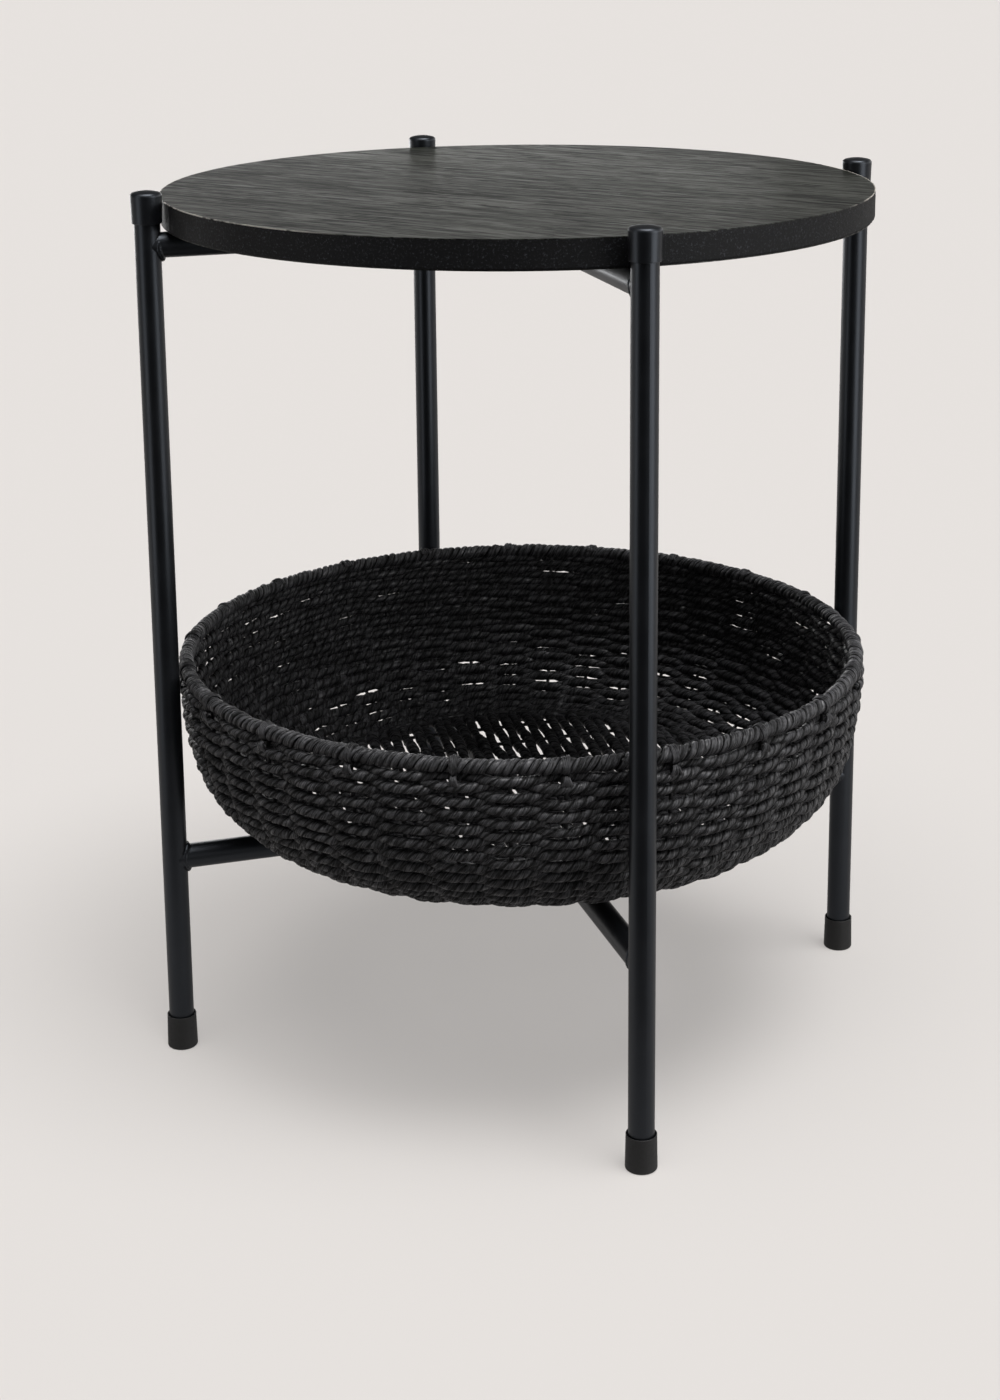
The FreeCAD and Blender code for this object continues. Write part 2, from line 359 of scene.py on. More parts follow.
@dataclass(frozen=True)
class MouldedRubber(Finish):
    """Matte moulded rubber with a fine grain and scuffs near the floor."""

    name: str = "moulded_rubber"
    colour: Colour = (0.0105, 0.0105, 0.011)
    scuffed: Colour = (0.024, 0.024, 0.0235)
    scuff_height: float = 0.006
    scuff_scale: float = 420.0
    grain_scale: float = 2600.0
    grain_height: float = 0.00003

    def paint(self, board: NodeBoard) -> dict[str, Any]:
        """Even black, greyer where it rubs on the floor.

        Args:
            board: the material's tree.

        Returns:
            Values of the surface shader's sockets, by name.
        """
        place = self.place(board)
        height = board.node("ShaderNodeSeparateXYZ", {}, {"Vector": place}, "Z")
        grain = board.noise(place, self.grain_scale, 2.0, 0.6)
        scuff = board.noise(place, self.scuff_scale, 4.0, 0.65).step(0.45, 0.75)
        low = height.step(self.scuff_height, 0.0)
        return {
            "Base Color": board.mix(scuff * low * 0.8, self.colour, self.scuffed),
            "Roughness": 0.55 + scuff * 0.12,
            "Specular IOR Level": 0.45,
            "Normal": board.bump(grain, self.grain_height, 0.7),
        }


@dataclass(frozen=True)
class BlackenedSteel(Finish):
    """Oil-blackened fastener steel with fine turning marks."""

    name: str = "blackened_steel"
    colour: Colour = (0.05, 0.05, 0.053)
    bright: Colour = (0.22, 0.22, 0.225)
    rub_scale: float = 300.0
    mark_scale: tuple[float, float, float] = (400.0, 400.0, 6000.0)
    mark_height: float = 0.00001

    def paint(self, board: NodeBoard) -> dict[str, Any]:
        """Dark metal, brighter where the finish is rubbed.

        Args:
            board: the material's tree.

        Returns:
            Values of the surface shader's sockets, by name.
        """
        place = self.place(board)
        rub = board.noise(place, self.rub_scale, 4.0, 0.7).step(0.52, 0.78)
        marks = board.noise(board.stretched(place, self.mark_scale), 1.0, 2.0)
        return {
            "Base Color": board.mix(rub, self.colour, self.bright),
            "Metallic": 0.9,
            "Roughness": 0.42 - rub * 0.1 + marks * 0.08,
            "Normal": board.bump(marks, self.mark_height, 0.6),
        }


@dataclass(frozen=True)
class MouldedNylon(Finish):
    """Matte black nylon."""

    name: str = "moulded_nylon"
    colour: Colour = (0.018, 0.018, 0.018)
    pale: Colour = (0.03, 0.03, 0.03)
    grain_scale: float = 1400.0
    grain_height: float = 0.00002

    def paint(self, board: NodeBoard) -> dict[str, Any]:
        """Slightly mottled black.

        Args:
            board: the material's tree.

        Returns:
            Values of the surface shader's sockets, by name.
        """
        grain = board.noise(self.place(board), self.grain_scale, 3.0, 0.6)
        return {
            "Base Color": board.mix(grain, self.colour, self.pale),
            "Roughness": 0.5 + grain * 0.12,
            "Normal": board.bump(grain, self.grain_height, 0.5),
        }


@dataclass(frozen=True)
class Grain:
    """Noise drawn out along the wood: lumps per metre along and across it, and finer layers."""

    along: float
    across: float
    layers: float
    rough: float

    def on(self, board: NodeBoard, place: Signal, angle: float) -> Signal:
        """Lays the noise on a piece.

        Args:
            board: the material's tree.
            place: place on the piece.
            angle: direction of the wood's grain, from +X.

        Returns:
            Values from 0 to 1.
        """
        drawn_out = board.stretched(place, (self.along, self.across, 1.0), -angle)
        return board.noise(drawn_out, 1.0, self.layers, self.rough)


@dataclass(frozen=True)
class StainedVeneer(Finish):
    """Black-stained open-grain veneer: streaks, pores and slow bands along the grain."""

    name: str = "stained_veneer"
    grain_angle: float = math.radians(-50)
    dark: Colour = (0.010, 0.0105, 0.0095)
    light: Colour = (0.034, 0.037, 0.030)
    pore: Colour = (0.0035, 0.0035, 0.0035)
    sheen: Colour = (0.98, 1.0, 0.93)
    chip: Colour = (0.60, 0.56, 0.52)
    bands: Grain = Grain(1.7, 10.0, 2.0, 0.5)
    streaks: Grain = Grain(12.0, 230.0, 3.0, 0.6)
    fibres: Grain = Grain(36.0, 520.0, 2.0, 0.6)
    pores: Grain = Grain(28.0, 380.0, 2.0, 0.6)
    fine_pores: Grain = Grain(50.0, 700.0, 1.0, 0.4)
    pore_depth: float = 0.0002
    edge_radius: float = 0.2246
    chip_depth: float = 0.0018
    chip_scale: float = 800.0
    chip_patch_scale: float = 60.0
    chip_softness: float = 0.0003
    chip_reach: float = 0.15
    chip_fade: float = 0.03
    chips_show: bool = True

    def paint(self, board: NodeBoard) -> dict[str, Any]:
        """Streaks and pores along the grain, with a chipped line at the edge.

        Args:
            board: the material's tree.

        Returns:
            Values of the surface shader's sockets, by name.
        """
        place = self.place(board)
        kinds = (self.bands, self.streaks, self.fibres, self.pores, self.fine_pores)
        bands, streak, fibre, pores, fine_pores = [
            kind.on(board, place, self.grain_angle) for kind in kinds]
        open_pores = pores.step(0.53, 0.57) * (0.7 + streak.step(0.38, 0.6) * 0.3)
        open_pores = open_pores.math("MAXIMUM", open_pores, fine_pores.step(0.58, 0.66) * 0.75)
        tone = bands.step(0.36, 0.66) * 0.3 + (streak - 0.5) * 2.2 + (fibre - 0.5) * 1.8 + 0.40
        wood = board.mix(tone, self.dark, self.light)
        wood = board.mix(open_pores, wood, self.pore)
        relief = fibre * 0.25 + (1 - open_pores) * 0.6
        if self.chips_show:
            wood = board.mix(self.chips(board, place), wood, self.chip)
        return {
            "Base Color": wood,
            "Roughness": 0.5,
            "Specular IOR Level": 0.12,
            "Coat Weight": (0.14 + tone * 0.55) * (1 - open_pores * 0.92),
            "Coat Roughness": 0.28,
            "Coat Tint": self.sheen,
            "Normal": board.bump(relief, self.pore_depth, 0.6),
        }

    def chips(self, board: NodeBoard, place: Signal) -> Signal:
        """Bare wood where the stain has chipped off the rim.

        Args:
            board: the material's tree.
            place: place on the piece.

        Returns:
            1 where the wood is bare, 0 elsewhere.
        """
        flat = board.vector("MULTIPLY", place, (1.0, 1.0, 0.0))
        radius = board.node("ShaderNodeVectorMath", {"operation": "LENGTH"},
                            {"Vector": flat}, "Value")
        side = board.node("ShaderNodeSeparateXYZ", {}, {"Vector": place}, "X")
        ends = side.math("ABSOLUTE", side).step(self.chip_reach, self.chip_reach + self.chip_fade)
        patches = board.noise(place, self.chip_patch_scale, 3.0, 0.7).step(0.36, 0.52)
        rough_line = board.noise(place, self.chip_scale, 3.0, 0.7)
        line = radius + (rough_line - 0.5) * self.chip_depth
        edge = line.step(self.edge_radius, self.edge_radius + self.chip_softness)
        return edge * patches * ends * 0.9


@dataclass(frozen=True)
class PaintedBoardEdge(Finish):
    """Black paint soaked into the cut edge of a fibre board."""

    name: str = "painted_board_edge"
    colour: Colour = (0.0042, 0.0045, 0.0055)
    fleck: Colour = (0.066, 0.070, 0.084)
    stipple_scale: float = 720.0
    stipple_height: float = 0.00035
    cloud_scale: float = 60.0

    def paint(self, board: NodeBoard) -> dict[str, Any]:
        """Stippled black with pale flecks where the fibres stand proud.

        Args:
            board: the material's tree.

        Returns:
            Values of the surface shader's sockets, by name.
        """
        place = self.place(board)
        stipple = board.noise(place, self.stipple_scale, 4.0, 0.75)
        cloud = board.noise(place, self.cloud_scale, 3.0)
        flecks = stipple.step(0.54, 0.68)
        return {
            "Base Color": board.mix(flecks * (0.35 + cloud * 0.6), self.colour, self.fleck),
            "Roughness": 0.5 + (1 - flecks) * 0.12,
            "Specular IOR Level": 0.2,
            "Normal": board.bump(stipple, self.stipple_height, 0.9),
        }


@dataclass(frozen=True)
class PaperCord(Finish):
    """Twisted paper: long wrinkles along the ply, with painted highlight on their ridges and painted
    shade between plies.
    """

    name: str = "paper_rope"
    dark: Colour = (0.0028, 0.0028, 0.003)
    light: Colour = (0.112, 0.112, 0.122)
    dusty: Colour = (0.20, 0.20, 0.21)
    wrinkle_length: float = 0.009
    wrinkle_width: float = 0.0011
    hair_fineness: tuple[float, float] = (2.0, 3.2)
    patch_scale: float = 120.0
    grit_scale: float = 420.0
    ply_twist: float = 210.0
    relief: float = 0.0013
    groove_height: float = 0.0001
    crown_height: float = 0.0011

    def paint(self, board: NodeBoard) -> dict[str, Any]:
        """Wrinkles that follow each ply, with slow changes of tone along the cord, painted highlight
        on the ridges and painted shade where the plies meet.

        Args:
            board: the material's tree.

        Returns:
            Values of the surface shader's sockets, by name.
        """
        strand = board.node("ShaderNodeAttribute", {"attribute_name": "fibre"}, {}, "Vector")
        split = board.place("ShaderNodeSeparateXYZ", {}, {"Vector": strand})
        run, out = [Signal(board, split.outputs[name]) for name in "XY"]
        # crown is 1 on each ply's outer face and 0 on its inner face, where it lies against the other
        # ply
        crown = out.step(self.groove_height, self.crown_height)
        twisted = board.node("ShaderNodeVectorRotate", {"rotation_type": "X_AXIS"},
                             {"Vector": strand, "Angle": run * self.ply_twist})
        along, across = 1 / self.wrinkle_length, 1 / self.wrinkle_width
        folded = board.stretched(twisted, (along, across, across))
        wrinkle = board.noise(folded, 1.0, 3.0, 0.62, 0.5)
        along, across = along * self.hair_fineness[0], across * self.hair_fineness[1]
        hair = board.noise(board.stretched(twisted, (along, across, across)), 1.0, 2.0)
        place = self.place(board)
        patch = board.noise(place, self.patch_scale, 4.0, 0.7)
        grit = board.noise(place, self.grit_scale, 2.0, 0.7)
        # painted highlight and shade: the wrinkles' ridges are coloured lighter and their folds
        # darker, standing in for light on the relief
        ridge = wrinkle.step(0.34, 0.70)
        tone = 0.06 + ridge * 0.85 + (hair - 0.5) * 0.6 + (patch - 0.5) * 1.5
        # painted shade: the inner face of each ply, where the plies meet, is coloured almost black
        tone = tone * (crown * 0.97 + 0.03)
        colour = board.mix(tone, self.dark, self.light)
        dust = hair.step(0.6, 0.78) * grit.step(0.5, 0.75)
        folds = board.bump(wrinkle, self.relief)
        return {
            "Base Color": board.mix(dust * crown * 0.7, colour, self.dusty),
            "Roughness": 0.46 + (1 - ridge * crown) * 0.28,
            "Specular IOR Level": 0.30,
            "Coat Weight": ridge * crown * patch.step(0.42, 0.60) * 0.8,
            "Coat Roughness": 0.30,
            "Normal": board.bump(hair, self.relief * 0.35, 0.8, folds),
        }


@dataclass(frozen=True)
class CoatedWire(Finish):
    """Black dipped wire with runs and bare specks."""

    name: str = "coated_wire"
    colour: Colour = (0.010, 0.010, 0.011)
    bare: Colour = (0.06, 0.055, 0.05)
    run_scale: float = 240.0
    run_height: float = 0.00008

    def paint(self, board: NodeBoard) -> dict[str, Any]:
        """Uneven glossy black.

        Args:
            board: the material's tree.

        Returns:
            Values of the surface shader's sockets, by name.
        """
        runs = board.noise(self.place(board), self.run_scale, 3.0, 0.6)
        return {
            "Base Color": board.mix(runs.step(0.68, 0.8) * 0.5, self.colour, self.bare),
            "Roughness": 0.38 + runs * 0.2,
            "Normal": board.bump(runs, self.run_height, 0.7),
        }


@dataclass(frozen=True)
class StudioFloor(Finish):
    """Plain pale studio floor that glows a little, so that shadows on it stay soft."""

    name: str = "studio_floor"
    colour: Colour = (0.335, 0.322, 0.312)
    glow: Colour = (0.379, 0.364, 0.354)
    heading: float = 0.0
    unevenness: float = 1.006
    dimmed_from: float = -0.20
    dimmed_to: float = -0.60

    def paint(self, board: NodeBoard) -> dict[str, Any]:
        """Even for the camera; dark in front of the set for everything that mirrors the floor.

        Args:
            board: the material's tree.

        Returns:
            Values of the surface shader's sockets, by name.
        """
        place = self.place(board)
        turned = board.node("ShaderNodeMapping", {},
                            {"Vector": place, "Rotation": (0.0, 0.0, self.heading)})
        ahead = board.node("ShaderNodeSeparateXYZ", {}, {"Vector": turned}, "Y")
        seen = board.node("ShaderNodeLightPath", {}, {}, "Is Camera Ray")
        dim = (0.4 + ahead.step(self.dimmed_from, self.dimmed_to) * 0.56) * (1 - seen)
        cloud = board.noise(place, 2.0, 2.0)
        paler = tuple(self.unevenness * value for value in self.colour)
        return {
            "Base Color": board.mix(dim, board.mix(cloud, self.colour, paler), BLACK),
            "Roughness": 0.9,
            "Specular IOR Level": 0.0,
            "Emission Color": board.mix(dim, self.glow, BLACK),
            "Emission Strength": 1.0,
        }


# ---------------------------------------------------------------- shared steps and strands


class Wander:
    """Smooth unevenness that repeats from run to run."""

    def __init__(self, seed: int) -> None:
        """Starts the random draws at a fixed seed."""
        self.draws = np.random.default_rng(seed)

    def along(self, distance: np.ndarray, period: float) -> np.ndarray:
        """Smooth values from about -1 to 1.

        Args:
            distance: where the values are wanted.
            period: distance from one random value to the next.

        Returns:
            One value for each distance.
        """
        place = (distance - distance.min()) / period
        knots = self.draws.uniform(-1, 1, int(place.max()) + 2)
        return blend_knots(knots, place)


@dataclass(frozen=True)
class Drift:
    """A smooth wander of one size, with its distance from one random value to the next."""

    size: float
    period: float

    def along(self, wander: Wander, distance: np.ndarray) -> np.ndarray:
        """Draws the wander at each distance."""
        return self.size * wander.along(distance, self.period)


def blend_knots(knots: np.ndarray, place: np.ndarray) -> np.ndarray:
    """Values between knots, joined smoothly.

    Args:
        knots: values at the whole numbers.
        place: where the values are wanted, from 0.

    Returns:
        One value for each place.
    """
    index = np.minimum(np.floor(place).astype(int), len(knots) - 2)
    part = place - index
    ease = part * part * (3 - 2 * part)
    return knots[index] * (1 - ease) + knots[index + 1] * ease


def round_axis(angle: np.ndarray, reach: np.ndarray, rise: np.ndarray) -> np.ndarray:
    """Points or directions round the vertical axis.

    Args:
        angle: angle round the axis.
        reach: distance from the axis, or a direction's radial part.
        rise: height, or a direction's upward part.

    Returns:
        One row of three numbers for each angle.
    """
    return np.column_stack([np.cos(angle) * reach, np.sin(angle) * reach, rise])


def link(name: str, data: Any) -> bpy.types.Object:
    """Makes an object and links it to the scene.

    Args:
        name: the object's name.
        data: its mesh, light or camera.

    Returns:
        The object.
    """
    linked = bpy.data.objects.new(name, data)
    bpy.context.scene.collection.objects.link(linked)
    return linked


def unit(vectors: np.ndarray) -> np.ndarray:
    """Vectors scaled to length 1."""
    return vectors / np.linalg.norm(vectors, axis=1, keepdims=True)


@dataclass
class StrandPath:
    """Middle line of a strand, with the direction that faces out of the work at each point."""

    points: np.ndarray
    outward: np.ndarray
    girth: np.ndarray
    lay: np.ndarray

    @classmethod
    def even(cls, points: np.ndarray, outward: np.ndarray, step: float) -> "StrandPath":
        """Spaces the points of a line evenly.

        Args:
            points: the line's points.
            outward: outward direction at each point.
            step: distance between the new points.

        Returns:
            The new path, of even girth and with no lay.
        """
        gaps = np.linalg.norm(np.diff(points, axis=0), axis=1)
        distance = np.concatenate(([0.0], np.cumsum(gaps)))
        wanted = np.linspace(0, distance[-1], max(3, int(distance[-1] / step) + 1))
        new_points, facing = [
            np.stack([np.interp(wanted, distance, column) for column in table.T], 1)
            for table in (points, outward)]
        tangent = unit(np.gradient(new_points, axis=0))
        facing -= tangent * np.sum(facing * tangent, axis=1, keepdims=True)
        return cls(new_points, unit(facing), np.ones(len(wanted)), np.zeros(len(wanted)))

    @property
    def run(self) -> np.ndarray:
        """Distance along the path at each point."""
        gaps = np.linalg.norm(np.diff(self.points, axis=0), axis=1)
        return np.concatenate(([0.0], np.cumsum(gaps)))

    @property
    def across(self) -> np.ndarray:
        """Direction at right angles to the path and to the outward one."""
        return np.cross(self.outward, unit(np.gradient(self.points, axis=0)))

    def part(self, start: int, end: int) -> "StrandPath":
        """Stretch of the path between two point numbers."""
        keep = slice(start, end)
        return StrandPath(self.points[keep], self.outward[keep], self.girth[keep], self.lay[keep])


@dataclass(frozen=True)
class StrandBuild:
    """How a strand is made up, in metres."""

    plies: int
    lay_radius: float
    half_thickness: float
    half_width: float
    sides: int


class StrandTree(NodeBoard):
    """Geometry Nodes tree that lays plies round a path and sweeps each ply's section along it."""

    SIZES = {
        "Plies": "NodeSocketInt",
        "Lay Radius": "NodeSocketFloat",
        "Half Thickness": "NodeSocketFloat",
        "Half Width": "NodeSocketFloat",
        "Sides": "NodeSocketInt",
        "Finish": "NodeSocketMaterial",
    }

    def __init__(self) -> None:
        """Builds the tree and its named inputs."""
        super().__init__(bpy.data.node_groups.new("laid_strands", "GeometryNodeTree"))
        interface = self.tree.interface
        interface.new_socket("Geometry", in_out="INPUT", socket_type="NodeSocketGeometry")
        interface.new_socket("Geometry", in_out="OUTPUT", socket_type="NodeSocketGeometry")
        self.sockets = {
            label: interface.new_socket(label, in_out="INPUT", socket_type=kind).identifier
            for label, kind in self.SIZES.items()
        }
        self.source = self.tree.nodes.new("NodeGroupInput")
        self.close(self.sweep(self.lay_plies()))

    def given(self, label: str) -> Signal:
        """Named input of the tree."""
        return Signal(self, self.source.outputs[label])

    def stored(self, name: str, kind: str) -> Signal:
        """Attribute that the path carries."""
        return self.node("GeometryNodeInputNamedAttribute", {"data_type": kind}, {"Name": name})

    def store(self, geometry: Signal, name: str, kind: str, value: Signal) -> Signal:
        """Stores an attribute on the points.

        Args:
            geometry: what it is stored on.
            name: the attribute's name.
            kind: its data type.
            value: its value.

        Returns:
            The geometry with the attribute.
        """
        settings = {"data_type": kind, "domain": "POINT"}
        sockets = {"Geometry": geometry, "Name": name, "Value": value}
        return self.node("GeometryNodeStoreNamedAttribute", settings, sockets)

    def lay_plies(self) -> Signal:
        """Copies the path once for each ply and moves each copy out from the middle.

        Returns:
            The plies' middle lines, which carry the direction that they were moved in.
        """
        curve = self.node("GeometryNodeMeshToCurve", {}, {"Mesh": self.given("Geometry")})
        copies = self.place("GeometryNodeDuplicateElements", {"domain": "SPLINE"},
                            {"Geometry": curve, "Amount": self.given("Plies")})
        number = Signal(self, copies.outputs["Duplicate Index"])
        angle = self.stored("lay", "FLOAT") + number * TURN / self.given("Plies")
        out = self.vector("SCALE", self.stored("outward", "FLOAT_VECTOR"),
                          scale=angle.math("COSINE", angle))
        side = self.vector("SCALE", self.stored("across", "FLOAT_VECTOR"),
                           scale=angle.math("SINE", angle))
        direction = self.vector("ADD", out, side)
        reach = self.vector("SCALE", direction,
                            scale=self.stored("girth", "FLOAT") * self.given("Lay Radius"))
        plies = self.node("GeometryNodeSetPosition", {},
                          {"Geometry": Signal(self, copies.outputs["Geometry"]), "Offset": reach})
        return self.store(plies, "facing", "FLOAT_VECTOR", direction)

    def sweep(self, plies: Signal) -> Signal:
        """Sweeps an oval section along every ply.

        Args:
            plies: the plies' middle lines.

        Returns:
            The plies as closed meshes, which carry their own fibre coordinates.
        """
        turned = self.node("GeometryNodeSetCurveNormal", {"mode": "FREE"},
                           {"Curve": plies, "Normal": self.stored("facing", "FLOAT_VECTOR")})
        length = self.node("GeometryNodeSplineParameter", {}, {}, "Length")
        line = self.store(turned, "length", "FLOAT", length)
        circle = self.node("GeometryNodeCurvePrimitiveCircle", {"mode": "RADIUS"},
                           {"Resolution": self.given("Sides"), "Radius": 1.0})
        oval = self.node("ShaderNodeCombineXYZ", {},
                         {"X": self.given("Half Thickness"), "Y": self.given("Half Width"), "Z": 1.0})
        section = self.node("GeometryNodeTransform", {}, {"Geometry": circle, "Scale": oval})
        corner = self.node("GeometryNodeInputPosition", {}, {})
        section = self.store(section, "corner", "FLOAT_VECTOR", corner)
        mesh = self.node("GeometryNodeCurveToMesh", {}, {
            "Curve": line, "Profile Curve": section, "Scale": self.stored("girth", "FLOAT"),
            "Fill Caps": True})
        split = self.place("ShaderNodeSeparateXYZ", {},
                           {"Vector": self.stored("corner", "FLOAT_VECTOR")})
        fibre = self.node("ShaderNodeCombineXYZ", {}, {
            "X": self.stored("length", "FLOAT"), "Y": Signal(self, split.outputs["X"]),
            "Z": Signal(self, split.outputs["Y"])})
        return self.store(mesh, "fibre", "FLOAT_VECTOR", fibre)

    def close(self, mesh: Signal) -> None:
        """Ends the tree with plain, smooth, dressed geometry.

        Args:
            mesh: the finished plies.
        """
        smooth = self.node("GeometryNodeSetShadeSmooth", {}, {"Geometry": mesh})
        plain = self.node("GeometryNodeRealizeInstances", {}, {"Geometry": smooth})
        dressed = self.node("GeometryNodeSetMaterial", {},
                            {"Geometry": plain, "Material": self.given("Finish")})
        output = self.tree.nodes.new("NodeGroupOutput")
        self.tree.links.new(dressed.socket, output.inputs["Geometry"])

    def grow(self, name: str, paths: Sequence[StrandPath], build: StrandBuild,
             material: bpy.types.Material) -> bpy.types.Object:
        """Makes one piece from its strands' paths.

        Args:
            name: the piece's name.
            paths: one path for each strand.
            build: how every strand is made up.
            material: the strands' finish.

        Returns:
            The piece, as a plain mesh.
        """
        carrier = self.carrier(name + "_lines", paths)
        modifier = carrier.modifiers.new("laid_strands", "NODES")
        modifier.node_group = self.tree
        values = {
            "Plies": build.plies,
            "Lay Radius": build.lay_radius,
            "Half Thickness": build.half_thickness,
            "Half Width": build.half_width,
            "Sides": build.sides,
            "Finish": material,
        }
        for label, value in values.items():
            modifier[self.sockets[label]] = value
        graph = bpy.context.evaluated_depsgraph_get()
        mesh = bpy.data.meshes.new_from_object(
            carrier.evaluated_get(graph), preserve_all_data_layers=True, depsgraph=graph)
        carrier.modifiers.remove(modifier)
        bpy.data.objects.remove(carrier)
        mesh.name = name
        return link(name, mesh)

    @staticmethod
    def carrier(name: str, paths: Sequence[StrandPath]) -> bpy.types.Object:
        """Makes the mesh of bare lines that the tree starts from.

        Args:
            name: the object's name.
            paths: the lines.

        Returns:
            The object, linked to the scene.
        """
        counts = [len(path.points) for path in paths]
        starts = np.concatenate(([0], np.cumsum(counts)[:-1]))
        edges = [np.stack([np.arange(s, s + n - 1), np.arange(s + 1, s + n)], 1)
                 for s, n in zip(starts, counts)]
        points = np.concatenate([path.points for path in paths])
        mesh = bpy.data.meshes.new(name)
        mesh.from_pydata(points.tolist(), np.concatenate(edges).tolist(), [])
        for label in ("outward", "across"):
            values = np.concatenate([getattr(path, label) for path in paths]).astype(np.float32)
            layer = mesh.attributes.new(label, "FLOAT_VECTOR", "POINT")
            layer.data.foreach_set("vector", values.ravel())
        for label in ("girth", "lay"):
            values = np.concatenate([getattr(path, label) for path in paths]).astype(np.float32)
            mesh.attributes.new(label, "FLOAT", "POINT").data.foreach_set("value", values)
        return link(name, mesh)


# ---------------------------------------------------------------- sub-assemblies


def middle(node: str) -> Vector:
    """Middle of a node's box."""
    low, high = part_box(node)
    return (low + high) / 2


def settle(piece: bpy.types.Object, body: str, slot: str, *nodes: str) -> None:
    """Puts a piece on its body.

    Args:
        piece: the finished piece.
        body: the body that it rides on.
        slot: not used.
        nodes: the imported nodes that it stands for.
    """
    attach(piece, body)
    if nodes:
        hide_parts(*nodes)
    triangles = sum(len(face.vertices) - 2 for face in piece.data.polygons)
    LOG.info("%s rides on %s: %d triangles", piece.name, body, triangles)


def dress(nodes: Sequence[str], material: bpy.types.Material) -> None:
    """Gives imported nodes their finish.

    Args:
        nodes: the nodes' names.
        material: the finish.
    """
    for name in nodes:
        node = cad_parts[name]
        if not node.material_slots:
            node.data.materials.append(material)
        for material_slot in node.material_slots:
            material_slot.material = material
        LOG.info("%s: %s", name, material.name)


@dataclass
class Steelwork:
    """The two welded H-frames with their caps, feet, pivots and weld beads."""

    strands: StrandTree
    seed: int = 100
    bead_radius: float = 1.75 * MM
    bead_embed: float = 0.35 * MM
    bead_spread: float = 0.76
    bead_width: float = 1.15
    bead_sides: int = 10
    bead_points: int = 90
    bead_step: float = 0.45 * MM
    bead_girth: float = 0.92
    bead_lumps: Drift = Drift(0.16, 6 * MM)
    tip_girth: float = 0.35
    tip_length: float = 2.5 * MM
    ripple_pitch: float = 2.3 * MM
    ripple_depth: float = 0.10
    ripple_slide: Drift = Drift(0.6 * MM, 4 * MM)
    bead_start: Mapping[Level, float] = field(
        default_factory=lambda: {Level.UPPER: math.radians(64), Level.LOWER: math.radians(2)})

    def dress(self) -> None:
        """Gives tubes, caps, feet and fasteners their finishes."""
        coat = PowderCoat().material()
        legs = [leg.value for leg in Leg]
        levels = [level.value for level in Level]
        dress([f"{part}_{leg}" for part in ("leg", "cap") for leg in legs], coat)
        dress([f"rail_{level}_{letter}" for level in levels for letter in "ab"], coat)
        dress([f"foot_{leg}" for leg in legs], MouldedRubber().material())
        fasteners = [f"pivot_{part}" for part in ("bolt", "washer", "nut")]
        dress([f"{part}_{level}" for part in fasteners for level in levels],
              BlackenedSteel().material())
        dress([f"pivot_bush_{level}" for level in levels], MouldedNylon().material())
        for leg in Leg:
            for level in Level:
                self.weld_bead(leg, level, coat)

    def weld_bead(self, leg: Leg, level: Level, coat: bpy.types.Material) -> None:
        """Lays the bead round one joint between a rail and a leg.

        Args:
            leg: the leg.
            level: the rail's height.
            coat: the finish over the bead.
        """
        low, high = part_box(f"rail_{level.value}_{leg.body[-1]}")
        rail_radius = (high.z - low.z) / 2
        rail_height = (high.z + low.z) / 2
        tube_low, tube_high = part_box("leg_" + leg.value)
        leg_radius = (tube_high.x - tube_low.x) / 2
        leg_reach = middle("leg_" + leg.value).xy.length
        wander = Wander(self.seed + 10 * list(Leg).index(leg) + list(Level).index(level))
        start = self.bead_start[level]
        angle = np.linspace(start, TURN - start, self.bead_points)
        side, up = np.sin(angle), np.cos(angle)
        half = rail_radius * self.bead_spread
        reach = leg_reach - np.sqrt(leg_radius ** 2 - (half * side) ** 2)
        out = self.bead_radius / 2 - self.bead_embed
        points = np.stack([reach - out, (half + out) * side,
                           rail_height + (rail_radius + out) * up], 1)
        facing = np.stack([-np.ones_like(side), side, up], 1)
        turn = np.array([[math.cos(leg.angle), -math.sin(leg.angle), 0],
                         [math.sin(leg.angle), math.cos(leg.angle), 0], [0, 0, 1]])
        path = StrandPath.even(points @ turn.T, facing @ turn.T, self.bead_step)
        run = path.run
        slid = run + self.ripple_slide.along(wander, run)
        ripple = np.abs(np.sin(math.pi * slid / self.ripple_pitch))
        taper = np.minimum(1, self.tip_girth + np.minimum(run, run[-1] - run) / self.tip_length)
        lumps = self.bead_lumps.along(wander, run)
        path.girth = taper * (self.bead_girth + self.ripple_depth * ripple + lumps)
        width = self.bead_radius * self.bead_width
        build = StrandBuild(1, 0.0, self.bead_radius, width, self.bead_sides)
        name = f"weld_bead_{level.value}_{leg.value}"
        piece = self.strands.grow(name, [path], build, coat)
        settle(piece, leg.body, "frame_coating", f"weld_{level.value}_{leg.value}")


@dataclass
class TableTop:
    """The loose round top: a fibre board between two veneers."""

    edge_break: float = 0.7 * MM

    def dress(self) -> None:
        """Gives the veneers and the board's edge their finishes."""
        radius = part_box("top_veneer")[1].x
        dress(["top_veneer"], StainedVeneer(edge_radius=radius - self.edge_break).material())
        backing = StainedVeneer("backing_veneer", chips_show=False)
        dress(["top_backing_veneer"], backing.material())
        dress(["top_core"], PaintedBoardEdge().material())


